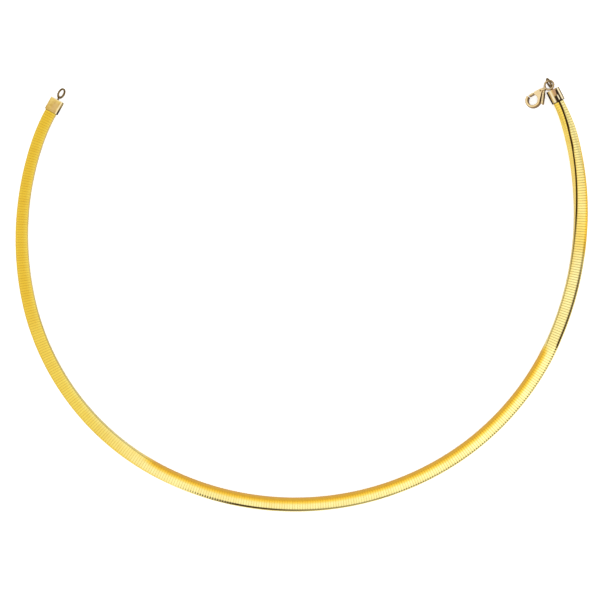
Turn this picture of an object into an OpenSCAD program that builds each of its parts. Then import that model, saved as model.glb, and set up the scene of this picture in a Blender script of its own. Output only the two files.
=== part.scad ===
// Omega necklace, unfastened and lying on a flat surface.
// The origin is on that surface at the middle of the necklace's outline.
// +Z is up and +Y points from the front of the necklace to its opening.

/* [Band] */
// Width of the band across its face, where it enters an end cap
band_w = 3.9; // [3.5:0.1:4.1]
// Thickness of the band there, from its back to the middle of its face
band_t = 2.3; // [1.8:0.1:2.5]
// Share by which the band is wider and thicker round the front than at its ends
front_swell = 0.16; // [0.1:0.01:0.18]
// How far the middle of the face stands above its shoulders
face_crown = 0.15; // [0.05:0.05:0.3]
// Radius of the shoulders between the face and the side walls
shoulder_r = 0.45; // [0.3:0.05:0.6]
// Radius of the corners between the back and the side walls
back_r = 0.3; // [0.2:0.05:0.5]
// Angle that the band turns about its own line at the left end cap
left_tilt = 8; // [0:1:12]

/* [End caps] */
// Width of an end cap
cap_w = 4.5; // [4.4:0.1:5]
// Thickness of an end cap
cap_t = 2.9; // [2.8:0.1:3.4]
// Length of an end cap
cap_l = 4.6; // [4.2:0.1:6]
// Radius of the long edges of an end cap
cap_r = 0.4; // [0.2:0.05:0.6]
// Thickness of the closed end of an end cap
cap_floor = 0.6; // [0.4:0.1:1]
// Play between the band and the inside of an end cap, on each side
cap_play = 0.08; // [0.05:0.01:0.15]

/* [Soldered eyes] */
// Outer diameter of an eye
eye_d = 3.8; // [3.7:0.1:3.8]
// Wire diameter of an eye
eye_wire = 0.7; // [0.5:0.02:0.7]
// Length of the stub between an end cap and its eye
stub_l = 0.6; // [0.5:0.1:0.8]
// Diameter of that stub
stub_d = 0.6; // [0.5:0.05:0.7]

/* [Clasp] */
// Outer diameter of the ring at the clasp's tail
tail_d = 3.8; // [3.6:0.1:3.8]
// Wire diameter of that ring
tail_wire = 0.66; // [0.5:0.02:0.66]
// Distance from the middle of the tail ring to the middle of the hook's hole
clasp_l = 7.3; // [7.2:0.1:7.5]
// Thickness of the clasp's body and hook
clasp_t = 1.9; // [1.8:0.1:2]
// Outer radius of the hook
hook_r = 2.77; // [2.6:0.01:2.8]
// Inner radius of the hook
hook_hole_r = 1.8; // [1.7:0.05:1.85]
// Thickness of the lever where it turns in the body's slot
lever_t = 0.84; // [0.7:0.02:0.9]
// Thickness of the lever's gate and thumb spur outside the slot
spur_t = 1.5; // [1:0.1:1.6]
// Radius of the rivet that the lever turns on
pin_r = 0.3; // [0.25:0.01:0.32]

/* [Hidden] */
$fn = 48;
gold = [0.93, 0.75, 0.28];
pale_gold = [0.9, 0.74, 0.36];
dark_gold = [0.6, 0.46, 0.2];
// Length that joined shapes share, and length that cutting shapes reach past a face
eps = 0.01;
over = 1;

// The band's line, seen from above, starts at the left end cap and turns left all the way.
line_start = [-84.74, 61.97];
start_heading = -119.3;
// Each row is one stretch: [length, bend radius, tilt of the face at the stretch's end].
// A positive tilt leans the face away from the neck, so that the inner side wall shows.
STRETCHES = [
    [12, 63, 7],
    [53, 100, 4],
    [60, 86, 12],
    [15, 86, 22],
    [50, 99, 24],
    [50, 99, 24],
    [50, 92, 23],
    [10, 92, 2],
    [30, 108, 3],
    [38, 105, 38],
    [13.2, 58, 48],
];
LEN = 0;
BEND = 1;
TILT = 2;
stretch_count = len(STRETCHES);

function upto(i) = i == 0 ? 0 : upto(i - 1) + STRETCHES[i - 1][LEN];
function turn(i, along) = along / STRETCHES[i][BEND] * 180 / PI;
function arc_step(r, h, a) = r * [sin(h + a) - sin(h), cos(h) - cos(h + a)];
function whole_turn(i) = turn(i, STRETCHES[i][LEN]);
function heading_at(i) = i == 0 ? start_heading : heading_at(i - 1) + whole_turn(i - 1);
function point_at(i) = i == 0
    ? line_start
    : point_at(i - 1) + arc_step(STRETCHES[i - 1][BEND], heading_at(i - 1), whole_turn(i - 1));

stretch_s = [for (i = [0 : stretch_count]) upto(i)];
stretch_h = [for (i = [0 : stretch_count]) heading_at(i)];
stretch_p = [for (i = [0 : stretch_count]) point_at(i)];
band_l = stretch_s[stretch_count];
right_tilt = STRETCHES[stretch_count - 1][TILT];

function ease(t) = t * t * (3 - 2 * t);
function stretch_of(s, i = 0) = i == stretch_count - 1 || s < stretch_s[i + 1] ? i : stretch_of(s, i + 1);
function tilt_before(i) = i == 0 ? left_tilt : STRETCHES[i - 1][TILT];
function tilt_in(i, s) =
    tilt_before(i) + (STRETCHES[i][TILT] - tilt_before(i)) * ease((s - stretch_s[i]) / STRETCHES[i][LEN]);

// The band's section: x across from the inner to the outer edge, y from the back to the face.
shoulder_y = band_t / 2 - face_crown - shoulder_r;
shoulder_x = band_w / 2 - shoulder_r;
corner_x = band_w / 2 - back_r;
corner_y = -band_t / 2 + back_r;
function arc(cx, cy, r, from, to, n) =
    [for (i = [0 : n]) [cx + r * cos(from + (to - from) * i / n), cy + r * sin(from + (to - from) * i / n)]];
function crown(n) =
    [for (i = [1 : n - 1]) let (t = 1 - 2 * i / n) [shoulder_x * t, band_t / 2 - face_crown * t * t]];
SECTION = concat(
    arc(shoulder_x, shoulder_y, shoulder_r, 0, 90, 4),
    crown(5),
    arc(-shoulder_x, shoulder_y, shoulder_r, 90, 180, 4),
    arc(-corner_x, corner_y, back_r, 180, 270, 2),
    arc(corner_x, corner_y, back_r, 270, 360, 2)
);
section_count = len(SECTION);

// Height of the band's line where its lowest corner touches the surface, at a given tilt.
function band_lift(tilt) = -min([for (p = SECTION) p.y * cos(tilt) - p.x * sin(tilt)]);
function cap_lift(tilt) = (cap_w / 2 - cap_r) * sin(tilt) + (cap_t / 2 - cap_r) * cos(tilt) + cap_r;
// The thicker end caps hold the band's ends a little off the surface.
raise_l = 14;
function raise_at(s) =
    (cap_lift(left_tilt) - band_lift(left_tilt)) * ease(max(0, 1 - s / raise_l))
    + (cap_lift(right_tilt) - band_lift(right_tilt)) * ease(max(0, 1 - (band_l - s) / raise_l));

// The band keeps the size of its left end at first, then grows to its full size, which it has
// nearly up to the right end cap.
swell_from = 20;
swell_l = 60;
right_swell_l = 14;
function share(t) = ease(min(max(t, 0), 1));
function swell_at(s) =
    1 + front_swell * share((s - swell_from) / swell_l) * share((band_l - s) / right_swell_l);

// A station is [x, y, z, heading, tilt, swell] at the distance s along the band.
function station(s) =
    let (
        i = stretch_of(s),
        a = turn(i, s - stretch_s[i]),
        tilt = tilt_in(i, s),
        swell = swell_at(s),
        p = stretch_p[i] + arc_step(STRETCHES[i][BEND], stretch_h[i], a)
    )
    [p.x, p.y, swell * band_lift(tilt) + raise_at(s), stretch_h[i] + a, tilt, swell];
function moved_on(st, d) = [st[0] + d * cos(st[3]), st[1] + d * sin(st[3]), st[2], st[3], st[4], st[5]];
function ring_of(st) =
    [for (p = SECTION)
        let (
            out = st[5] * (p.x * cos(st[4]) + p.y * sin(st[4])),
            up = st[5] * (p.y * cos(st[4]) - p.x * sin(st[4]))
        )
        [st[0] + out * sin(st[3]), st[1] - out * cos(st[3]), st[2] + up]];

band_steps = 120;
band_end_play = 0.2;
band_in_cap = cap_l - cap_floor - band_end_play;
START = station(0);
FINISH = station(band_l);
STATIONS = concat(
    [moved_on(START, -band_in_cap)],
    [for (i = [0 : band_steps]) station(band_l * i / band_steps)],
    [moved_on(FINISH, band_in_cap)]
);

module plate_band() {
    last = len(STATIONS) - 1;
    points = [for (st = STATIONS) each ring_of(st)];
    sides = [
        for (r = [0 : last - 1], k = [0 : section_count - 1])
            let (
                a = r * section_count + k,
                b = r * section_count + (k + 1) % section_count,
                c = b + section_count,
                d = a + section_count
            )
            each [[a, b, c], [a, c, d]]
    ];
    ends = [
        [for (k = [section_count - 1 : -1 : 0]) k],
        [for (k = [0 : section_count - 1]) last * section_count + k],
    ];
    color(gold) polyhedron(points, concat(sides, ends));
}

// An end cap is drawn along +Y from its mouth, with X across the band and Z out of the face.
module rounded_bar(w, t, r, l) {
    rotate([-90, 0, 0])
        linear_extrude(l)
            union() {
                square([w - 2 * r, t], center = true);
                square([w, t - 2 * r], center = true);
                for (x = [-1, 1], y = [-1, 1])
                    translate([x * (w / 2 - r), y * (t / 2 - r)]) circle(r);
            }
}

module end_cap(eye_lean) {
    eye_ring_r = (eye_d - eye_wire) / 2;
    hole_w = band_w + 2 * cap_play;
    hole_t = band_t + 2 * cap_play;
    color(pale_gold) difference() {
        rounded_bar(cap_w, cap_t, cap_r, cap_l);
        translate([-hole_w / 2, -over, -hole_t / 2]) cube([hole_w, cap_l - cap_floor + over, hole_t]);
    }
    color(dark_gold) translate([0, cap_l - eps, 0]) {
        rotate([-90, 0, 0]) cylinder(d = stub_d, h = stub_l + eye_wire / 2);
        translate([0, stub_l + eye_d / 2, 0])
            rotate([0, eye_lean, 0])
                rotate([0, 90, 0])
                    rotate_extrude() translate([eye_ring_r, 0]) circle(d = eye_wire, $fn = 24);
    }
}

module at_station(st) {
    translate([st[0], st[1], st[2]])
        rotate([0, 0, st[3] - 90])
            rotate([0, st[4], 0])
                children();
}

// Angles of the eyes from the upright, seen along the band towards each end.
left_eye_lean = 30;
right_eye_lean = 9.9;

module left_cap() {
    at_station(START) mirror([0, 1, 0]) end_cap(left_eye_lean - left_tilt);
}

module right_cap() {
    at_station(FINISH) end_cap(right_eye_lean - right_tilt);
}

// The clasp is drawn in its own plane: the tail ring's middle is its origin, +X runs to the hook,
// and +Y is the side of the thumb spur. It lies with its tail ring through the right-hand eye.
tail_out = 1.85;
tail_across = -0.41;
tail_up = 0.74;
clasp_heading = -135.6;
clasp_pitch = 9.5;
clasp_roll = 27;

module at_clasp() {
    cap_end = moved_on(FINISH, cap_l + tail_out);
    translate([
        cap_end[0] + tail_across * sin(FINISH[3]),
        cap_end[1] - tail_across * cos(FINISH[3]),
        cap_end[2] + tail_up
    ])
        rotate([0, 0, clasp_heading])
            rotate([0, clasp_pitch, 0])
                rotate([clasp_roll, 0, 0])
                    children();
}

hook = [clasp_l, 0];
hook_from = -78;
hook_to = 165;
pivot = [3.3, -0.35];
boss_r = 0.75;
// Play round the lever in its slot, round the rivet in the lever's bore and in the body's bore
lever_play = 0.08;
lever_bore_play = 0.04;
body_bore_play = 0.01;

module slab(t) {
    translate([0, 0, -t / 2]) linear_extrude(t) children();
}

module bore(at, r) {
    translate([at.x, at.y, -clasp_t / 2 - over]) cylinder(r = r, h = clasp_t + 2 * over);
}

module bar_2d(a, ra, b, rb) {
    hull() {
        translate(a) circle(ra, $fn = 32);
        translate(b) circle(rb, $fn = 32);
    }
}

module hook_section() {
    r = (hook_r - hook_hole_r) / 2;
    translate([hook_hole_r + r, 0]) {
        square([2 * r, clasp_t - 2 * r], center = true);
        for (z = [-1, 1]) translate([0, z * (clasp_t / 2 - r)]) circle(r, $fn = 32);
    }
}

module body_outline() {
    polygon([
        [1.4, -0.55],
        [1.95, -0.62],
        [4.9, -1.66],
        [5.69, -1.49],
        [5.54, -0.35],
        hook,
        [6.05, 2.3],
        [2.87, 0],
        [2.3, 0.38],
        [1.4, 0.38],
    ]);
}

// Side view of the body: it thickens from the tail ring's wire to the hook.
tail_flare = 0.08;
module body_side() {
    low = tail_wire / 2 + tail_flare;
    rotate([90, 0, 0])
        translate([0, 0, -4])
            linear_extrude(8)
                polygon([
                    [1, -low],
                    [1.6, -low],
                    [3, -clasp_t / 2],
                    [8, -clasp_t / 2],
                    [8, clasp_t / 2],
                    [3, clasp_t / 2],
                    [1.6, low],
                    [1, low],
                ]);
}

module lever_slot() {
    slab(lever_t + 2 * lever_play) {
        translate(pivot) circle(boss_r + lever_play);
        polygon([[3.3, 0.48], [6, 0.2], [6, -2.6], [4, -2.2], [2.9, -1.1]]);
        polygon([[1.92, 0.8], [1.92, -0.5], [2.9, -0.9], [3.3, 0.48], [3.1, 0.8]]);
    }
}

module clasp_body() {
    tail_ring_r = (tail_d - tail_wire) / 2;
    color(pale_gold) at_clasp() {
        rotate_extrude() translate([tail_ring_r, 0]) circle(d = tail_wire, $fn = 24);
        difference() {
            intersection() {
                slab(clasp_t) body_outline();
                body_side();
            }
            bore(hook, hook_hole_r);
            lever_slot();
            bore(pivot, pin_r + body_bore_play);
        }
        translate(hook)
            rotate([0, 0, hook_from])
                rotate_extrude(angle = hook_to - hook_from) hook_section();
    }
}

gate_tip = [7.2, -2.08];
gate_root = [5.95, -1.72];
spur_root = [2.5, 0.27];
spur_mid = [3.25, 0.96];
spur_tip = [5.8, 3.26];

module clasp_lever() {
    color(dark_gold) at_clasp() difference() {
        union() {
            slab(lever_t) {
                translate(pivot) circle(boss_r);
                bar_2d(pivot, 0.6, gate_root, 0.3);
                bar_2d(pivot, 0.5, spur_root, 0.3);
                bar_2d(spur_root, 0.3, spur_mid, 0.3);
            }
            slab(spur_t) {
                bar_2d(gate_root, 0.3, gate_tip, 0.25);
                bar_2d(spur_mid, 0.3, spur_tip, 0.33);
            }
        }
        bore(pivot, pin_r + lever_bore_play);
    }
}

module clasp_pin() {
    color(dark_gold)
        at_clasp()
            translate([pivot.x, pivot.y, -clasp_t / 2]) cylinder(r = pin_r, h = clasp_t);
}

plate_band();
left_cap();
right_cap();
clasp_body();
clasp_lever();
clasp_pin();
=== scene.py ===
"""Omega necklace, unfastened and lying on a white table. Sizes are in millimetres until a mesh is made."""

import math

import bpy
import numpy as np
from mathutils import Euler, Matrix, Vector


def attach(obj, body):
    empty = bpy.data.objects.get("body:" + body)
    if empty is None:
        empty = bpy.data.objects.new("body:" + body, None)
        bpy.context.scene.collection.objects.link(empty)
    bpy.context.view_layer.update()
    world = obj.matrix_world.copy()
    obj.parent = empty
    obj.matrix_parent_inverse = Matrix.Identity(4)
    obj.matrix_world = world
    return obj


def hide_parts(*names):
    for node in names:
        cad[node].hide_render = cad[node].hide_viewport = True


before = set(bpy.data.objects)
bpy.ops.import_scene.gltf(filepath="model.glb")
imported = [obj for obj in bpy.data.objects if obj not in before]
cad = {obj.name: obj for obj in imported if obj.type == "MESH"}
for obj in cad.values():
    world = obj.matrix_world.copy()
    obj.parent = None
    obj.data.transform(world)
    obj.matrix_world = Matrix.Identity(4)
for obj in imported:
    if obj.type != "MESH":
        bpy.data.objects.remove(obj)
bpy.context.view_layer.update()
MM = 0.001
BODY = "necklace"

# The band's line and section, as in the part's source
LINE_START = (-84.74, 61.97)
START_HEADING = -119.3
LEFT_TILT = 8
# Each row is one stretch: length, bend radius, tilt of the face at the stretch's end
STRETCHES = (
    (12, 63, 7),
    (53, 100, 4),
    (60, 86, 12),
    (15, 86, 22),
    (50, 99, 24),
    (50, 99, 24),
    (50, 92, 23),
    (10, 92, 2),
    (30, 108, 3),
    (38, 105, 38),
    (13.2, 58, 48),
)
RIGHT_TILT = STRETCHES[-1][2]
BAND_L = sum(row[0] for row in STRETCHES)
BAND_W = 3.9
BAND_T = 2.3
FACE_CROWN = 0.15
SHOULDER_R = 0.45
BACK_R = 0.3
# Length over which the band comes down from the height of an end cap to the table
RAISE_L = 14
# The band is larger by this share round the front: where it starts to grow, and over which lengths
FRONT_SWELL = 0.16
SWELL_FROM = 20
SWELL_L = 60
RIGHT_SWELL_L = 14
# Steps of the mesh round a shoulder, across the face and round a corner of the back
SHOULDER_STEPS = 7
FACE_STEPS = 12
BACK_STEPS = 3

CAP_W = 4.5
CAP_T = 2.9
CAP_L = 4.6
CAP_R = 0.4
CAP_FLOOR = 0.6
CAP_WALL = 0.22
BAND_IN_CAP = 3.8

EYE_D = 3.8
EYE_WIRE = 0.7
STUB_L = 0.6
STUB_R = 0.3
# How far each eye leans from upright, in degrees
LEFT_EYE_LEAN = 30
RIGHT_EYE_LEAN = 9.9
# Share by which solder thickens an eye's wire at its stub, and how far round the eye it reaches
SOLDER = 0.25
SOLDER_REACH = 0.12
RING_STEPS = 72
WIRE_POINTS = 20

# Roll, pitch and heading of the clasp's own plane, in degrees, and the axis across that plane
CLASP_TURN = (27, 9.5, -135.6)
CLASP_AXIS = Euler([math.radians(a) for a in CLASP_TURN], "XYZ").to_matrix() @ Vector((0, 0, 1))
# Middle of the clasp's tail ring, and the distance from it that its darker colour reaches
TAIL_RING_AT = (83.53, 70.84, 3.22)
TAIL_REACH = 2.1
TAIL_SOFT = 0.7

# One plate of the band, from the groove before it: share of its length, depth below its top, darkness of the
# painted shade in the groove
PLATE_L = 0.865
PLATE_PROFILE = (
    (0, 0.11, 1),
    (0.07, 0.045, 0.75),
    (0.15, 0.018, 0.1),
    (0.34, 0.003, 0),
    (0.66, 0.003, 0),
    (0.85, 0.018, 0.1),
    (0.93, 0.045, 0.75),
)
GROOVE_BOTTOM = PLATE_PROFILE[0][1:]
PLATE_GROUPS = ("plates_left", "plates_front", "plates_right")
# Share of a groove's depth, and of its painted shade, that it keeps on the side walls
WALL_DEPTH = 0.5
WALL_DARKNESS = 0.3
# Rings of the mesh with less darkness than this lie between two grooves
ON_PLATE = 0.05
# Edges that turn by more than these angles in degrees are drawn sharp
SHARP = 35
PLATE_SHARP = 28
# Factors of the repeatable scatter
SCATTER_STEP = 12.9898
SCATTER_SIZE = 43758.5453


def ease(t):
    """0 up to 0, 1 from 1 on, and a smooth rise between them."""
    t = np.clip(t, 0, 1)
    return t * t * (3 - 2 * t)


def step(v, start, soft):
    """0 up to start, easing to 1 over soft."""
    return ease((v - start) / soft)


def window(v, start, end, soft):
    """1 between start and end, easing to 0 over soft outside them."""
    return ease((v - start) / soft + 1) * ease((end - v) / soft + 1)


def ramp(s, keys):
    """The value at s between keys of (place, value), held past both ends."""
    return np.interp(s, [k[0] for k in keys], [k[1] for k in keys])


def scatter(i):
    """A repeatable value from 0 to 1 for plate number i."""
    return np.modf(np.abs(np.sin(np.asarray(i) * SCATTER_STEP) * SCATTER_SIZE))[0]


def arc(cx, cy, r, start, end, steps):
    """Points on an arc between two angles in degrees, each with its outward normal."""
    a = np.radians(np.linspace(start, end, steps + 1))
    return [(cx + r * math.cos(t), cy + r * math.sin(t), math.cos(t), math.sin(t)) for t in a]


def band_section():
    """Points round the band and their outward normals: x to the outer edge, y to the face."""
    sx = BAND_W / 2 - SHOULDER_R
    sy = BAND_T / 2 - FACE_CROWN - SHOULDER_R
    cx = BAND_W / 2 - BACK_R
    cy = BACK_R - BAND_T / 2
    points = arc(sx, sy, SHOULDER_R, 0, 90, SHOULDER_STEPS)
    for t in np.linspace(1, -1, FACE_STEPS + 1)[1:-1]:
        slope = 2 * FACE_CROWN * t / sx
        size = math.hypot(1, slope)
        points.append((sx * t, BAND_T / 2 - FACE_CROWN * t * t, slope / size, 1 / size))
    points += arc(-sx, sy, SHOULDER_R, 90, 180, SHOULDER_STEPS)
    points.append((-BAND_W / 2, (sy + cy) / 2, -1, 0))
    points += arc(-cx, cy, BACK_R, 180, 270, BACK_STEPS)
    points.append((0, -BAND_T / 2, 0, -1))
    points += arc(cx, cy, BACK_R, 270, 360, BACK_STEPS)
    points.append((BAND_W / 2, (sy + cy) / 2, 1, 0))
    return np.array(points)


SECTION = band_section()


def girth(section):
    """Distance round the section from the middle of the face, below zero towards the inner edge."""
    around = len(section)
    top = int(np.argmax(section[:, 1]))
    out = np.zeros(around)
    for sign in (1, -1):
        k = top
        for _ in range(around // 2):
            j = (k + sign) % around
            out[j] = out[k] - sign * math.dist(section[j, :2], section[k, :2])
            k = j
    return out


def band_lift(tilt):
    """Height of the band's middle above its lowest point, at a tilt in degrees."""
    c, s = math.cos(math.radians(tilt)), math.sin(math.radians(tilt))
    return -min(p[1] * c - p[0] * s for p in SECTION)


def cap_lift(tilt):
    """Height of an end cap's middle above its lowest point, at a tilt in degrees."""
    c, s = math.cos(math.radians(tilt)), math.sin(math.radians(tilt))
    return (CAP_W / 2 - CAP_R) * s + (CAP_T / 2 - CAP_R) * c + CAP_R


LEFT_RAISE = cap_lift(LEFT_TILT) - band_lift(LEFT_TILT)
RIGHT_RAISE = cap_lift(RIGHT_TILT) - band_lift(RIGHT_TILT)


def swell_at(s):
    """The band's size at s, where 1 is its size at both ends."""
    grown = ease((s - SWELL_FROM) / SWELL_L) * ease((BAND_L - s) / RIGHT_SWELL_L)
    return 1 + FRONT_SWELL * float(grown)


def station(s):
    """Place, heading, tilt and swell of the band at the distance s along it; straight past both ends."""
    along = min(max(s, 0), BAND_L)
    x, y, heading, before = *LINE_START, START_HEADING, LEFT_TILT
    gone = 0
    for length, bend, tilt in STRETCHES:
        part = min(along - gone, length)
        turn = part / bend
        h = math.radians(heading)
        x += bend * (math.sin(h + turn) - math.sin(h))
        y += bend * (math.cos(h) - math.cos(h + turn))
        heading += math.degrees(turn)
        here = before + (tilt - before) * ease(part / length)
        gone += length
        before = tilt
        if gone >= along:
            break
    h = math.radians(heading)
    swell = swell_at(along)
    z = swell * band_lift(here)
    z += LEFT_RAISE * ease(1 - along / RAISE_L) + RIGHT_RAISE * ease(1 - (BAND_L - along) / RAISE_L)
    past = s - along
    return x + past * math.cos(h), y + past * math.sin(h), z, h, math.radians(here), swell


def link(name, mesh, body=BODY):
    """Puts a mesh into the scene, where it rides on a body."""
    obj = bpy.data.objects.new(name, mesh)
    bpy.context.scene.collection.objects.link(obj)
    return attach(obj, body)


def facing(a, b, c):
    """Above zero where triangles, taken together, face away from the origin."""
    return np.einsum("ij,ij->i", a, np.cross(b, c)).sum()


def loft(name, rings, loop=False, sharp=SHARP):
    """A smooth mesh over rings of equally many points, with closed ends unless the rings make a loop."""
    rings = np.asarray(rings, float)
    count, around = rings.shape[:2]
    r = np.arange(count if loop else count - 1)[:, None] * around
    k = np.arange(around)[None, :]
    nxt = (k + 1) % around
    above = (r + around) % (count * around)
    quads = np.stack([r + k, r + nxt, above + nxt, above + k], axis=-1).reshape(-1, 4)
    points = rings.reshape(-1, 3)
    a, b, c, d = (points[quads[:, i]] for i in range(4))
    inwards = facing(a, b, c) + facing(a, c, d) < 0
    faces = (quads[:, ::-1] if inwards else quads).tolist()
    if not loop:
        first = list(range(around))
        last = [(count - 1) * around + i for i in range(around)]
        faces += [first, last[::-1]] if inwards else [first[::-1], last]
    mesh = bpy.data.meshes.new(name)
    mesh.from_pydata((points * MM).tolist(), [], faces)
    mesh.polygons.foreach_set("use_smooth", [True] * len(mesh.polygons))
    mesh.set_sharp_from_angle(angle=math.radians(sharp))
    mesh.validate()
    return link(name, mesh)


def attribute(obj, name, values):
    """Stores one value for each point of the mesh, which the materials read by name."""
    layer = obj.data.attributes.new(name, "FLOAT", "POINT")
    layer.data.foreach_set("value", np.asarray(values, np.float32).ravel())


# Painted reflection tone along the band, by millimetres from the left cap: 0 is pale, 1 is orange; the
# orange on the inner wall is the painted reflection of the table beside it. First the face, then the inner
# side wall, then the outer shoulder and side wall
FACE_LEFT = ((0, 0.8), (63, 0.78), (79, 0.58), (110, 0.46), (126, 0.3), (136, 0.06))
FACE_RIGHT = ((326, 0.02), (333, 0.36), (339, 0.36), (344, 0.18), (352, 0.2), (362, 0.08))
FACE_DEEP = FACE_LEFT + FACE_RIGHT
WALL_LEFT = ((0, 0.65), (47, 0.55), (80, 0.45), (126, 0.2), (134, 0.3), (138, 1))
WALL_RIGHT = ((293, 0.95), (296, 0.15), (316, 0.2), (332, 0.3), (364, 0.35), (381, 0.5))
WALL_DEEP = WALL_LEFT + WALL_RIGHT
OUTER_LEFT = ((60, 0.72), (110, 0.55), (126, 0.45), (142, 0.25), (150, 0.1))
OUTER_RIGHT = ((326, 0.1), (332, 0.85), (362, 0.6), (369, 0.2))
OUTER_DEEP = OUTER_LEFT + OUTER_RIGHT
# Where these tones blend over, by distance round the section from the middle of the face, and how softly
WALL_BLEND = (0.3, 1.6)
OUTER_BLEND = (0.9, 0.6)
# How strongly the plates' painted reflection is dimmed towards the left end
DIMMING_ALONG = ((0, 1), (115, 0.8), (138, 0))

# How dark the painted shade in the grooves is along the band
GROOVE_LEFT = ((0, 0.12), (125, 0.17), (150, 0.2), (290, 0.2))
GROOVE_RIGHT = ((300, 0.65), (330, 0.75), (355, 0.6))
GROOVE_DARK = GROOVE_LEFT + GROOVE_RIGHT

# The painted dark reflection that runs as a line along the inner wall: darkness, and middle and half width
# round the section
INNER_LINE_LEFT = ((62, 0), (72, 0.4), (134, 0.4), (139, 0))
INNER_LINE_RIGHT = ((293, 0), (297, 0.5), (318, 0.5), (335, 0.8), (343, 1))
INNER_LINE = INNER_LINE_LEFT + INNER_LINE_RIGHT
INNER_LINE_AT = ((134, -2.05), (290, -1.75), (330, -1.75), (362, -1.62), (381, -1.1))
INNER_LINE_HALF = ((318, 0.1), (343, 0.19), (362, 0.22), (381, 0.4))
INNER_LINE_SOFT = 0.15
# The same for the painted dark reflection along the outer shoulder
OUTER_LINE_LEFT = ((147, 0), (150, 0.4), (156, 1), (180, 1), (200, 0.75), (214, 0.7))
OUTER_LINE_MID = ((222, 0.85), (290, 0.75))
OUTER_LINE_RIGHT = ((293, 0.9), (297, 1), (320, 0.85), (330, 0.45), (336, 0))
OUTER_LINE = OUTER_LINE_LEFT + OUTER_LINE_MID + OUTER_LINE_RIGHT
OUTER_LINE_AT = ((180, 1.24), (230, 1.36), (300, 1.36))
OUTER_HALF_LEFT = ((149, 0.1), (157, 0.22), (160, 0.38), (166, 0.34), (169, 0.24), (202, 0.19))
OUTER_HALF_RIGHT = ((222, 0.12), (295, 0.12), (297, 0.26))
OUTER_LINE_HALF = OUTER_HALF_LEFT + OUTER_HALF_RIGHT
OUTER_LINE_SOFT = 0.14
# Share of the outer line's darkness on the plates; where it is low, the line is a row of dots in the grooves
OUTER_LINE_DOTS = ((159, 0.03), (167, 0.8), (169, 1), (219, 1), (224, 0.35), (295, 0.25), (297, 1))


def dark_reflection_line(s, g, dark, middle, half, soft):
    """Darkness of a painted dark reflection, a line that runs along the band at the distance middle round
    its section.
    """
    at = ramp(s, middle)
    reach = ramp(s, half)
    return ramp(s, dark) * window(g, at - reach, at + reach, soft)


def paint_band(obj, s, number, groove, g):
    """Stores the painted reflection tone and dark lines, the painted dimming, the painted groove shade and
    each plate's own shade on the mesh.
    """
    s, groove, number, g = s[:, None], groove[:, None], number[:, None], g[None, :]
    wall = step(-g, *WALL_BLEND)
    outer = step(g, *OUTER_BLEND)
    reflection_tone = ramp(s, FACE_DEEP) * (1 - wall) * (1 - outer)
    reflection_tone += ramp(s, WALL_DEEP) * wall + ramp(s, OUTER_DEEP) * outer
    inner_line = dark_reflection_line(s, g, INNER_LINE, INNER_LINE_AT, INNER_LINE_HALF, INNER_LINE_SOFT)
    outer_line = dark_reflection_line(s, g, OUTER_LINE, OUTER_LINE_AT, OUTER_LINE_HALF, OUTER_LINE_SOFT)
    dots = np.where(groove < ON_PLATE, ramp(s, OUTER_LINE_DOTS), 1)
    upward = np.abs(SECTION[:, 3])[None, :]
    groove_share = WALL_DARKNESS + (1 - WALL_DARKNESS) * upward
    attribute(obj, "reflection_tone", reflection_tone)
    attribute(obj, "dark_reflection_line", np.maximum(inner_line, outer_line * dots))
    attribute(obj, "dimming", np.broadcast_to(ramp(s, DIMMING_ALONG), reflection_tone.shape))
    attribute(obj, "shade", np.broadcast_to(scatter(number), reflection_tone.shape))
    attribute(obj, "groove", groove * ramp(s, GROOVE_DARK) * groove_share)


def ring_points(stations, depth):
    """Rings of the band's section at stations, drawn in by depth on the face and by less on the walls."""
    x, y, z, h, tilt, swell = (np.array(v)[:, None] for v in zip(*stations))
    px, py, nx, ny = (v[None, :] for v in SECTION.T)
    inset = depth[:, None] * (WALL_DEPTH + (1 - WALL_DEPTH) * np.abs(ny))
    px, py = swell * px - inset * nx, swell * py - inset * ny
    out = px * np.cos(tilt) + py * np.sin(tilt)
    up = py * np.cos(tilt) - px * np.sin(tilt)
    return np.stack([x + out * np.sin(h), y - out * np.cos(h), z + up], axis=-1)


def plate_rows(first, last, pitch):
    """Rings of the plates from first up to last: place along the band, depth, darkness, plate number."""
    rows = []
    for i in range(first, last):
        for share, depth, dark in PLATE_PROFILE:
            rows.append(((i + share) * pitch, depth, dark, i))
    rows.append((last * pitch, *GROOVE_BOTTOM, last - 1))
    return rows


def band_plates():
    """The band's plates, edge to edge, in three lengths that meet in grooves."""
    plates = round(BAND_L / PLATE_L)
    groups = len(PLATE_GROUPS)
    g = girth(SECTION)
    made = []
    for part, name in enumerate(PLATE_GROUPS):
        first, last = plates * part // groups, plates * (part + 1) // groups
        rows = plate_rows(first, last, BAND_L / plates)
        if part == 0:
            rows.insert(0, (-BAND_IN_CAP, *GROOVE_BOTTOM, 0))
        if part == groups - 1:
            rows.append((BAND_L + BAND_IN_CAP, *GROOVE_BOTTOM, last - 1))
        s, depth, groove, number = (np.array(v, float) for v in zip(*rows))
        obj = loft(name, ring_points([station(v) for v in s], depth), sharp=PLATE_SHARP)
        paint_band(obj, s, number, groove, g)
        made.append(obj)
    return made


def end_frame(s, mirrored):
    """Matrix from an end cap's own axes (Y out of the band's end, Z out of the face) to the frame."""
    x, y, z, h, tilt, _ = station(s)
    place = Matrix.Translation((x, y, z)) @ Matrix.Rotation(h - math.pi / 2, 4, "Z")
    place = place @ Matrix.Rotation(tilt, 4, "Y")
    return place @ Matrix.Diagonal((1, -1, 1, 1)) if mirrored else place


def placed(rings, matrix):
    """Rings of points, moved by a matrix."""
    m = np.array(matrix)
    return np.asarray(rings) @ m[:3, :3].T + m[:3, 3]


# A sleeve's corners in turn, and the points on the flat sides that follow them: face, inner wall, back and
# outer wall
CORNERS = ((1, 1), (-1, 1), (-1, -1), (1, -1))
FLAT_POINTS = (24, 6, 4, 4)
CORNER_STEPS = 6
SMALLEST_R = 0.03


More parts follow.
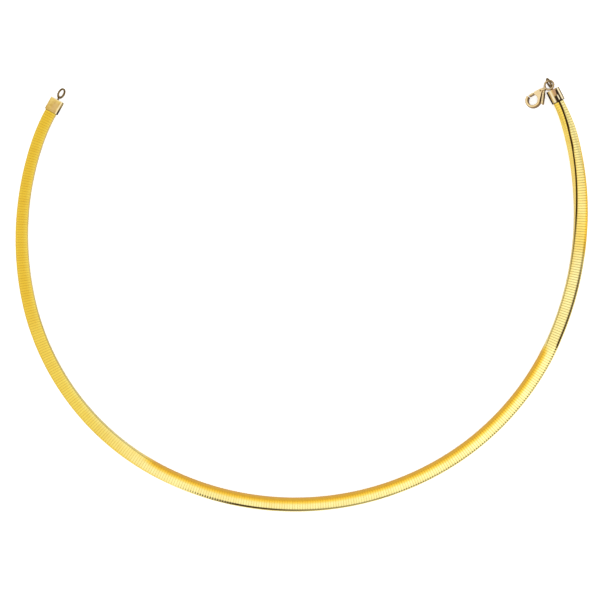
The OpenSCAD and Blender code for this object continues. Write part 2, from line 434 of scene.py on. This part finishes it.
def rounded_ring(half_w, half_t, r, y):
    """A rounded rectangle across Y."""
    r = max(r, SMALLEST_R)

    def on_corner(side, angle):
        cx, cz = CORNERS[side % len(CORNERS)]
        t = math.radians(angle)
        return np.array((cx * (half_w - r) + r * math.cos(t), y, cz * (half_t - r) + r * math.sin(t)))

    points = []
    for side, flat in enumerate(FLAT_POINTS):
        angles = np.linspace(90 * side, 90 * side + 90, CORNER_STEPS + 1)
        points += [on_corner(side, angle) for angle in angles]
        start = points[-1]
        end = on_corner(side + 1, angles[-1])
        points += [start + (end - start) * t for t in np.linspace(0, 1, flat + 2)[1:-1]]
    return points


# Lengths of the rounding at a sleeve's closed end and at its mouth, and the rings between them
END_ROUND = 0.17
MOUTH_ROUND = 0.1
OUTSIDE_RINGS = 17
# An end cap's sleeve from its closed end, over the outside, round the mouth and back inside: distance from
# the mouth, how far in from the outside
SLEEVE_PROFILE = (
    (CAP_L, 0.16),
    (CAP_L - 0.03, 0.07),
    (CAP_L - 0.09, 0.02),
    *((y, 0) for y in np.linspace(CAP_L - END_ROUND, MOUTH_ROUND, OUTSIDE_RINGS)),
    (0.04, 0.015),
    (0.0, 0.06),
    (0.0, CAP_WALL - 0.05),
    (0.05, CAP_WALL),
    (CAP_L - CAP_FLOOR, CAP_WALL),
)
# The stub between a cap and its eye, with a fillet at both ends: distance from the cap, radius
STUB_PROFILE = (
    (-0.02, STUB_R + 0.22),
    (0.05, STUB_R + 0.1),
    (0.14, STUB_R + 0.02),
    (STUB_L - 0.1, STUB_R),
    (STUB_L + 0.12, STUB_R + 0.03),
)
STUB_POINTS = 24

# Where the caps' painted shadow, reflections, highlights and rosy patches lie, as start, end and softness
# for a window and as start and softness for a step.
# The plain ones are millimetres round the sleeve from the middle of its face, below zero towards its inner
# wall; those named ALONG are shares of the sleeve's length from its mouth
LEFT_SHADOW = (2.45, 0.12)
LEFT_SHADOW_ALONG = (-0.75, 0.5)
LEFT_ROSY = (-1.2, -0.1, 0.7)
LEFT_ROSY_ALONG = (0.15, 0.6, 0.3)
LEFT_OUTER_EDGE = (2.0, 0.25)
LEFT_PALE = (-2.3, -1.9, 0.2)
LEFT_PALE_ALONG = (0.9, 0.08)
RIGHT_LINE = (0.0, 0.4, 0.12)
RIGHT_PATCH = (-2.6, 0.3, 0.15)
RIGHT_BAR = (-1.05, -0.6, 0.2)
RIGHT_BAR_ALONG = (0.14, 0.46, 0.08)
RIGHT_ROSY = (-2.3, -0.3, 0.2)
RIGHT_ROSY_ALONG = (0.46, 0.15)
RIGHT_INNER_EDGE = (4.1, 0.25)
RIGHT_OUTER_EDGE = (1.45, 0.25)
RIGHT_MOUTH_ALONG = (-0.06, 0.04)
RIGHT_PALE = (0.75, 1.15, 0.35)
RIGHT_PALE_WALL = (-3.5, -3.1, 0.4)
# The patch ends at this share along the cap, and farther along by the rise where it is near the line
PATCH_END_ALONG = 0.42
PATCH_RISE = 0.4
PATCH_RISES = (-1.2, 0.6)
PATCH_SOFT = 0.15
# Strengths of the painted marks that are weaker than full; the painted shadow's is where it is weakest
LEFT_SHADOW_LEAST = 0.55
LEFT_EDGE_STRENGTH = 0.3
LEFT_ROSY_STRENGTH = 0.35
LEFT_PALE_STRENGTH = 0.6
RIGHT_EDGE_STRENGTH = 0.8
RIGHT_ROSY_STRENGTH = 0.8
RIGHT_WALL_STRENGTH = 0.8


def round_sleeve(across, up):
    """Distance round a sleeve from the middle of its face, below zero towards its inner wall."""
    side = np.where(across < 0, -1, 1)
    return across * CAP_W / 2 + side * (1 - up) * CAP_T / 2


def left_painted_light_and_rosy(across, up, along):
    """Painted light on the left cap: the band's shadow on its inner wall, a darker outer edge, highlights
    where its edges catch the light, and a rosy patch on its face.
    """
    q = round_sleeve(across, up)
    wall = step(-q, *LEFT_SHADOW)
    shadow = LEFT_SHADOW_LEAST + (1 - LEFT_SHADOW_LEAST) * step(-along, *LEFT_SHADOW_ALONG)
    dark = np.maximum(wall * shadow, step(q, *LEFT_OUTER_EDGE) * LEFT_EDGE_STRENGTH)
    rosy = window(q, *LEFT_ROSY) * window(along, *LEFT_ROSY_ALONG) * LEFT_ROSY_STRENGTH
    pale = np.maximum(window(q, *LEFT_PALE), step(along, *LEFT_PALE_ALONG))
    return dark, rosy, pale * (1 - wall) * LEFT_PALE_STRENGTH


def right_painted_reflections(across, up, along):
    """What the right cap mirrors: dark and rosy things beside a pale strip, and dark outer edges."""
    q = round_sleeve(across, up)
    line = window(q, *RIGHT_LINE)
    patch_end = PATCH_END_ALONG + PATCH_RISE * step(q, *PATCH_RISES)
    patch = window(q, *RIGHT_PATCH) * (1 - step(along, patch_end, PATCH_SOFT))
    bar = window(q, *RIGHT_BAR) * window(along, *RIGHT_BAR_ALONG)
    inner_edge = step(-q, *RIGHT_INNER_EDGE)
    outer_edge = step(q, *RIGHT_OUTER_EDGE) * RIGHT_EDGE_STRENGTH
    mouth = step(-along, *RIGHT_MOUTH_ALONG) * RIGHT_EDGE_STRENGTH
    dark = np.maximum.reduce([line, patch * (1 - bar), inner_edge, outer_edge, mouth])
    rosy = window(q, *RIGHT_ROSY) * step(along, *RIGHT_ROSY_ALONG) * RIGHT_ROSY_STRENGTH
    on_wall = window(q, *RIGHT_PALE_WALL) * RIGHT_WALL_STRENGTH
    pale = np.maximum.reduce([window(q, *RIGHT_PALE), on_wall, bar])
    return dark, rosy, pale


def sleeve(name, matrix, marks):
    """A cap's sleeve, with the painted shade, reflections, highlights and rosy tone that marks gives stored
    on its mesh.
    """
    rings = []
    for y, inset in SLEEVE_PROFILE:
        rings.append(rounded_ring(CAP_W / 2 - inset, CAP_T / 2 - inset, CAP_R - inset, y))
    obj = loft(name, placed(rings, matrix))
    x, y, z = np.moveaxis(np.array(rings), -1, 0)
    painted = marks(2 * x / CAP_W, 2 * z / CAP_T, y / CAP_L)
    for mark, values in zip(("dark", "rosy", "pale"), painted):
        attribute(obj, mark, values)
    return obj


def wire_ring(name, matrix, ring_r, wire_r):
    """A ring of wire round the X axis of matrix, thicker by its solder where it meets its stub at -Y."""
    t = np.linspace(0, 2 * math.pi, WIRE_POINTS, endpoint=False)
    rings = []
    for a in np.linspace(0, 2 * math.pi, RING_STEPS, endpoint=False):
        r = wire_r * (1 + SOLDER * math.exp(-((1 + math.cos(a)) / SOLDER_REACH)))
        radius = ring_r + r * np.cos(t)
        rings.append(np.stack([r * np.sin(t), radius * math.cos(a), radius * math.sin(a)], axis=-1))
    return loft(name, placed(rings, matrix), loop=True)


def stub(name, matrix):
    """The soldered stub between a cap and its eye."""
    t = np.linspace(0, 2 * math.pi, STUB_POINTS, endpoint=False)
    rings = []
    for y, r in STUB_PROFILE:
        rings.append(np.stack([r * np.cos(t), np.full(STUB_POINTS, CAP_L + y), r * np.sin(t)], axis=-1))
    return loft(name, placed(rings, matrix))


def end_pieces(side, s, mirrored, lean, marks):
    """An end cap's sleeve, its stub and its eye, which stand for the CAD node of that cap."""
    matrix = end_frame(s, mirrored)
    eye_at = (0, CAP_L + STUB_L + EYE_D / 2, 0)
    eye_place = matrix @ Matrix.Translation(eye_at) @ Matrix.Rotation(math.radians(lean), 4, "Y")
    cap = sleeve(side + "_sleeve", matrix, marks)
    eye = wire_ring(side + "_eye", eye_place, (EYE_D - EYE_WIRE) / 2, EYE_WIRE / 2)
    joint = stub(side + "_stub", matrix)
    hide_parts(side + "_cap")
    return cap, eye, joint


def empty_tree(owner):
    """The node tree of a material or a world, with nothing in it."""
    owner.use_nodes = True
    owner.node_tree.nodes.clear()
    return owner.node_tree


def node(tree, kind, inputs=(), **settings):
    """A new node with its settings, and the values of its inputs by name or number."""
    made = tree.nodes.new(kind)
    for name, value in settings.items():
        setattr(made, name, value)
    for socket, value in dict(inputs).items():
        made.inputs[socket].default_value = value
    return made


def colour_ramp(tree, factor, stops):
    """Colours between stops of (place, colour)."""
    made = node(tree, "ShaderNodeValToRGB")
    tree.links.new(factor, made.inputs["Fac"])
    elements = made.color_ramp.elements
    while len(elements) < len(stops):
        elements.new(0.5)
    for element, (place, colour) in zip(elements, stops):
        element.position = place
        element.color = (*colour, 1)
    return made.outputs["Color"]


# A colour mix's sockets: its factor, and the two colours
MIX_INPUTS = (0, 6, 7)
MIX_OUTPUT = 2


def mix(tree, factor, a, b, mode="MIX"):
    """A colour mix whose inputs are sockets or constants."""
    made = node(tree, "ShaderNodeMix", data_type="RGBA", blend_type=mode)
    for socket, value in zip(MIX_INPUTS, (factor, a, b)):
        if isinstance(value, bpy.types.NodeSocket):
            tree.links.new(value, made.inputs[socket])
        else:
            made.inputs[socket].default_value = value if socket == 0 else (*value, 1)
    return made.outputs[MIX_OUTPUT]


def noise(tree, scale, detail=3.0, roughness=0.5, stretch=(1, 1, 1)):
    """Noise in the object's own coordinates, scale in features a millimetre."""
    where = node(tree, "ShaderNodeTexCoord")
    mapping = node(tree, "ShaderNodeMapping", {"Scale": stretch})
    tree.links.new(where.outputs["Object"], mapping.inputs["Vector"])
    settings = {"Scale": scale / MM, "Detail": detail, "Roughness": roughness}
    texture = node(tree, "ShaderNodeTexNoise", settings)
    tree.links.new(mapping.outputs["Vector"], texture.inputs["Vector"])
    return texture.outputs["Fac"]


def spread(tree, value, low, high, start=0.3, end=0.7):
    """A value between start and end mapped to low and high."""
    limits = {"From Min": start, "From Max": end, "To Min": low, "To Max": high}
    made = node(tree, "ShaderNodeMapRange", limits)
    tree.links.new(value, made.inputs["Value"])
    return made.outputs["Result"]


def read(tree, name):
    """A value that is stored on the mesh."""
    return node(tree, "ShaderNodeAttribute", attribute_name=name).outputs["Fac"]


def metal(tree, colour, roughness, height, bump_mm):
    """A polished metal surface from sockets for its colour, roughness and height."""
    shader = node(tree, "ShaderNodeBsdfPrincipled", {"Metallic": 1.0})
    bump = node(tree, "ShaderNodeBump", {"Strength": 1.0, "Distance": bump_mm * MM})
    out = node(tree, "ShaderNodeOutputMaterial")
    tree.links.new(colour, shader.inputs["Base Color"])
    tree.links.new(roughness, shader.inputs["Roughness"])
    tree.links.new(height, bump.inputs["Height"])
    tree.links.new(bump.outputs["Normal"], shader.inputs["Normal"])
    tree.links.new(shader.outputs["BSDF"], out.inputs["Surface"])
    return shader


BLACK, WHITE = (0, 0, 0), (1, 1, 1)
# The plates: tones from pale to orange, between which the painted reflection tone picks
PALE = (1.0, 0.91, 0.42)
YELLOW = (0.96, 0.7, 0.13)
DEEP = (0.88, 0.55, 0.05)
ORANGE = (0.72, 0.4, 0.037)
PLATE_TONES = ((0, PALE), (0.45, YELLOW), (0.8, DEEP), (1, ORANGE))
SHADED = (0.88, 0.72, 0.45)
# Tint of the painted dimming towards the left end
DIMMING_TINT = (0.86, 0.93, 0.95)
# Painted shade in the grooves between the plates
GROOVE_SHADE = (0.42, 0.26, 0.03)
# Painted dark reflection along the shoulders
DARK_REFLECTION = (0.042, 0.013, 0.001)
# The caps
LEFT_CAP, LEFT_CAP_STAIN = (0.75, 0.55, 0.17), (0.58, 0.37, 0.09)
RIGHT_CAP, RIGHT_CAP_STAIN = (0.72, 0.5, 0.17), (0.54, 0.34, 0.11)
# Painted shadow and dark reflections on the caps, their painted highlights, and a rosy tone
SHADOW_AND_REFLECTION_DARK = (0.026, 0.013, 0.004)
CREAM = (1.0, 0.9, 0.62)
ROSE = (0.48, 0.27, 0.15)
# The eyes and the clasp
EYE, EYE_DARK = (0.3, 0.2, 0.08), (0.09, 0.055, 0.025)
CLASP, CLASP_DARK = (0.75, 0.53, 0.22), (0.7, 0.48, 0.2)
LEVER, LEVER_DARK = (0.8, 0.58, 0.24), (0.48, 0.31, 0.11)
PIN, PIN_DARK = (0.7, 0.5, 0.2), (0.3, 0.2, 0.08)
# Painted dark reflection on the sides of the clasp and of the lever
CLASP_SIDE_REFLECTION = (0.26, 0.15, 0.06)
LEVER_SIDE_REFLECTION = (0.48, 0.33, 0.16)
TAIL_RING_DARKER = (0.42, 0.27, 0.11)
# Painted glint on the flat faces of the clasp and of the lever
GLINT = (1.0, 0.9, 0.66)
# Shares of the painted glint and of the painted dark reflection on the sides, by how far the surface turns
# away from the clasp's own axis
GLINT_STOPS = ((0, (0.3,) * 3), (0.12, BLACK))
SIDE_REFLECTION_STOPS = ((0.15, BLACK), (0.65, WHITE))

# Largest shares of each plate's own shade and of the slow change in tone along the band
SHADE_SHARE = 0.2
CLOUD_SHARE = 0.14
# Sizes of the noise, in features a millimetre
CLOUDS = 0.12
STAINS = 0.5
BLOTCHES = 1.4
POLISH = 3.0
FINE_MARKS = 5.0
SCRATCHES = 6.0
# Least and greatest share of stains and blotches, and the values of the noise that they stand for
STAIN_SHARES = (0, 0.9, 0.4, 0.62)
BLOTCH_SHARES = (0, 1, 0.35, 0.65)
# Cosines of the angle to the clasp's axis: up to the first, metal stands across it; from the second on, it
# faces along it
AXIS_COSINES = (0.3, 0.95)
# Heights of the fine relief
FINE_BUMP = 0.004
SCRATCH_BUMP = 0.01
# Roughness of the metals, and how far below and above it varies; where a cap is dark, it is dull
PLATE_ROUGH = (0.17, 0.27)
LEFT_CAP_ROUGH = 0.4
RIGHT_CAP_ROUGH = 0.16
DARK_ROUGH = 0.85
DARK_SPECULAR = 0.15
EYE_ROUGH = 0.24
CLASP_ROUGH = 0.2
LEVER_ROUGH = 0.24
PIN_ROUGH = 0.3
CAP_VARIES = (-0.08, 0.1)
WIRE_VARIES = (-0.05, 0.08)


def plates_gold():
    """Bright yellow plates with painted reflections, deeper at the left end and on the inner wall, and
    painted dark lines and groove shade.
    """
    material = bpy.data.materials.new("plates_gold")
    tree = empty_tree(material)
    tone = colour_ramp(tree, read(tree, "reflection_tone"), PLATE_TONES)
    shade = spread(tree, read(tree, "shade"), 0, SHADE_SHARE, 0, 1)
    tone = mix(tree, shade, tone, SHADED, "MULTIPLY")
    tone = mix(tree, read(tree, "dimming"), tone, DIMMING_TINT, "MULTIPLY")
    tone = mix(tree, spread(tree, noise(tree, CLOUDS, detail=2), 0, CLOUD_SHARE), tone, ORANGE)
    tone = mix(tree, read(tree, "groove"), tone, GROOVE_SHADE)
    tone = mix(tree, read(tree, "dark_reflection_line"), tone, DARK_REFLECTION)
    rough = spread(tree, noise(tree, POLISH, detail=4), *PLATE_ROUGH)
    metal(tree, tone, rough, noise(tree, FINE_MARKS), FINE_BUMP)
    return material


def sleeve_gold(name, base, stain, rough):
    """Gold sheet with soft stains and fine handling scratches, and painted shade, reflections and
    highlights; where painted dark it is rough and not metal.
    """
    material = bpy.data.materials.new(name)
    tree = empty_tree(material)
    stains = spread(tree, noise(tree, STAINS, roughness=0.6), *STAIN_SHARES)
    tone = mix(tree, stains, base, stain)
    tone = mix(tree, read(tree, "rosy"), tone, ROSE)
    tone = mix(tree, read(tree, "pale"), tone, CREAM)
    tone = mix(tree, read(tree, "dark"), tone, SHADOW_AND_REFLECTION_DARK)
    scratches = noise(tree, SCRATCHES, detail=4, roughness=0.6, stretch=(1, 0.15, 1))
    dark = read(tree, "dark")
    polished = spread(tree, scratches, *(rough + v for v in CAP_VARIES))
    roughness = mix(tree, dark, polished, (DARK_ROUGH,) * 3)
    shader = metal(tree, tone, roughness, scratches, SCRATCH_BUMP)
    shader.inputs["Specular IOR Level"].default_value = DARK_SPECULAR
    tree.links.new(spread(tree, dark, 1, 0, 0, 1), shader.inputs["Metallic"])
    return material


def steepness(tree, axis, start, end):
    """0 where the surface faces along axis, 1 where it stands across it."""
    where = node(tree, "ShaderNodeTexCoord")
    along = node(tree, "ShaderNodeVectorMath", {1: axis}, operation="DOT_PRODUCT")
    level = node(tree, "ShaderNodeMath", operation="ABSOLUTE")
    tree.links.new(where.outputs["Normal"], along.inputs[0])
    tree.links.new(along.outputs["Value"], level.inputs[0])
    return spread(tree, level.outputs[0], 1, 0, start, end)


def nearness(tree, place, reach, soft):
    """1 within reach of a place in the object's own coordinates, easing to 0 over soft, in millimetres."""
    where = node(tree, "ShaderNodeTexCoord")
    away = node(tree, "ShaderNodeVectorMath", {1: [v * MM for v in place]}, operation="DISTANCE")
    tree.links.new(where.outputs["Object"], away.inputs[0])
    return spread(tree, away.outputs["Value"], 1, 0, reach * MM, (reach + soft) * MM)


def wire_gold(name, base, dark, rough, side_reflection=None):
    """Gold wire darkened by handling; for the clasp, the last argument is the painted dark reflection on its
    sides, with a painted glint on its flat faces and a darker tail ring.
    """
    material = bpy.data.materials.new(name)
    tree = empty_tree(material)
    tone = mix(tree, spread(tree, noise(tree, BLOTCHES), *BLOTCH_SHARES), base, dark)
    if side_reflection:
        steep = steepness(tree, CLASP_AXIS, *AXIS_COSINES)
        tone = mix(tree, nearness(tree, TAIL_RING_AT, TAIL_REACH, TAIL_SOFT), tone, TAIL_RING_DARKER)
        tone = mix(tree, colour_ramp(tree, steep, GLINT_STOPS), tone, GLINT)
        tone = mix(tree, colour_ramp(tree, steep, SIDE_REFLECTION_STOPS), tone, side_reflection)
    marks = noise(tree, FINE_MARKS)
    roughness = spread(tree, marks, *(rough + v for v in WIRE_VARIES))
    metal(tree, tone, roughness, marks, FINE_BUMP)
    return material


def assign(obj, material):
    """Gives every slot of an object the same material."""
    if not obj.data.materials:
        obj.data.materials.append(material)
    for slot in obj.material_slots:
        slot.link = "OBJECT"
        slot.material = material


# The cast pieces of the clasp: size of the voxels, rounds of smoothing, thickness that is given back
SOFTENED = {
    "clasp_body": (0.06, 8, 0.03),
    "clasp_lever": (0.05, 5, 0.015),
}
SMOOTH_FACTOR = 0.5


def soften(obj, voxel_mm, rounds, regain_mm):
    """Rounds a CAD node's edges as casting does, then gives back the thickness that this takes."""
    remesh = obj.modifiers.new("remesh", "REMESH")
    remesh.mode = "VOXEL"
    remesh.voxel_size = voxel_mm * MM
    remesh.use_smooth_shade = True
    smooth = obj.modifiers.new("smooth", "SMOOTH")
    smooth.factor = SMOOTH_FACTOR
    smooth.iterations = rounds
    regain = obj.modifiers.new("regain", "DISPLACE")
    regain.strength = regain_mm * MM
    regain.mid_level = 0


# The table in metres from its middle to its sides, its grey, and how much it glows where the camera sees it
TABLE_HALF = 6.0
TABLE_GREY = (0.9, 0.9, 0.9, 1)
TABLE_GLOW = 0.5


def build_floor():
    """A white table, which the camera sees a little brighter than the light alone makes it."""
    mesh = bpy.data.meshes.new("table_top")
    corners = [(x * TABLE_HALF, y * TABLE_HALF, 0) for x, y in ((-1, -1), (1, -1), (1, 1), (-1, 1))]
    mesh.from_pydata(corners, [], [(0, 1, 2, 3)])
    floor = bpy.data.objects.new("table_top", mesh)
    bpy.context.scene.collection.objects.link(floor)
    material = bpy.data.materials.new("white_table")
    tree = empty_tree(material)
    diffuse = node(tree, "ShaderNodeBsdfDiffuse", {"Color": TABLE_GREY})
    glow = node(tree, "ShaderNodeEmission", {"Color": (*WHITE, 1)})
    path = node(tree, "ShaderNodeLightPath")
    seen = spread(tree, path.outputs["Is Camera Ray"], 0, TABLE_GLOW, 0, 1)
    tree.links.new(seen, glow.inputs["Strength"])
    both = node(tree, "ShaderNodeAddShader")
    out = node(tree, "ShaderNodeOutputMaterial")
    tree.links.new(diffuse.outputs[0], both.inputs[0])
    tree.links.new(glow.outputs[0], both.inputs[1])
    tree.links.new(both.outputs[0], out.inputs["Surface"])
    mesh.materials.append(material)


# Grey of the studio from straight below, at 0, to straight overhead, at 1
STUDIO_STOPS = (
    (0.0, (0.9,) * 3),
    (0.5, (0.5,) * 3),
    (0.54, (0.75,) * 3),
    (0.61, (1.1,) * 3),
    (1.0, (1.1,) * 3),
)


def build_world():
    """A soft white studio: bright overhead, dimmer towards the horizon."""
    world = bpy.data.worlds.new("studio")
    bpy.context.scene.world = world
    tree = empty_tree(world)
    where = node(tree, "ShaderNodeTexCoord")
    split = node(tree, "ShaderNodeSeparateXYZ")
    tree.links.new(where.outputs["Generated"], split.inputs[0])
    height = node(tree, "ShaderNodeMapRange", {"From Min": -1.0, "From Max": 1.0})
    tree.links.new(split.outputs["Z"], height.inputs["Value"])
    sky = colour_ramp(tree, height.outputs["Result"], STUDIO_STOPS)
    back = node(tree, "ShaderNodeBackground", {"Strength": 1.0})
    out = node(tree, "ShaderNodeOutputWorld")
    tree.links.new(sky, back.inputs["Color"])
    tree.links.new(back.outputs[0], out.inputs["Surface"])


# The soft box: place and size in metres, power in watts
SOFT_BOX_AT = (0.9, -0.7, 0.9)
SOFT_BOX_SIZE = 0.9
SOFT_BOX_POWER = 0.8


def build_soft_box():
    """A square light that faces the middle of the table."""
    data = bpy.data.lights.new("soft_box", "AREA")
    data.size = SOFT_BOX_SIZE
    data.energy = SOFT_BOX_POWER
    lamp = bpy.data.objects.new("soft_box", data)
    bpy.context.scene.collection.objects.link(lamp)
    lamp.location = SOFT_BOX_AT
    lamp.rotation_euler = (-Vector(SOFT_BOX_AT)).to_track_quat("-Z", "Y").to_euler()


# The camera looks straight down from a metre up; the frame is 202.8 mm wide where the necklace lies
CAMERA_HEIGHT = 1000
FRAME_W = 202.8
AIM = (-0.56, -1.72)
SENSOR = 36
# Nearest and farthest distance that it sees, in metres
CLIP_M = (0.01, 20)


def build_camera():
    """The camera, straight above AIM, which looks down without a turn."""
    data = bpy.data.cameras.new("camera")
    data.sensor_width = SENSOR
    data.lens = SENSOR * CAMERA_HEIGHT / FRAME_W
    data.clip_start, data.clip_end = CLIP_M
    camera = bpy.data.objects.new("camera", data)
    bpy.context.scene.collection.objects.link(camera)
    camera.location = (AIM[0] * MM, AIM[1] * MM, (CAMERA_HEIGHT + BAND_T) * MM)
    bpy.context.scene.camera = camera


plates = band_plates()
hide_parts("plate_band")
plate_metal = plates_gold()
for piece in plates:
    assign(piece, plate_metal)

left_lean = LEFT_EYE_LEAN - LEFT_TILT
right_lean = RIGHT_EYE_LEAN - RIGHT_TILT
left_cap, left_eye, left_stub = end_pieces("left", 0, True, left_lean, left_painted_light_and_rosy)
right_cap, right_eye, right_stub = end_pieces("right", BAND_L, False, right_lean, right_painted_reflections)
assign(left_cap, sleeve_gold("left_cap_gold", LEFT_CAP, LEFT_CAP_STAIN, LEFT_CAP_ROUGH))
assign(right_cap, sleeve_gold("right_cap_gold", RIGHT_CAP, RIGHT_CAP_STAIN, RIGHT_CAP_ROUGH))
eye_metal = wire_gold("eye_gold", EYE, EYE_DARK, EYE_ROUGH)
for piece in (left_eye, left_stub, right_eye, right_stub):
    assign(piece, eye_metal)

for name, amounts in SOFTENED.items():
    soften(cad[name], *amounts)
assign(cad["clasp_body"], wire_gold("clasp_gold", CLASP, CLASP_DARK, CLASP_ROUGH, CLASP_SIDE_REFLECTION))
assign(cad["clasp_lever"], wire_gold("lever_gold", LEVER, LEVER_DARK, LEVER_ROUGH, LEVER_SIDE_REFLECTION))
assign(cad["clasp_pin"], wire_gold("pin_gold", PIN, PIN_DARK, PIN_ROUGH))

build_floor()
build_world()
build_soft_box()
build_camera()
bpy.context.scene.view_settings.view_transform = "Standard"
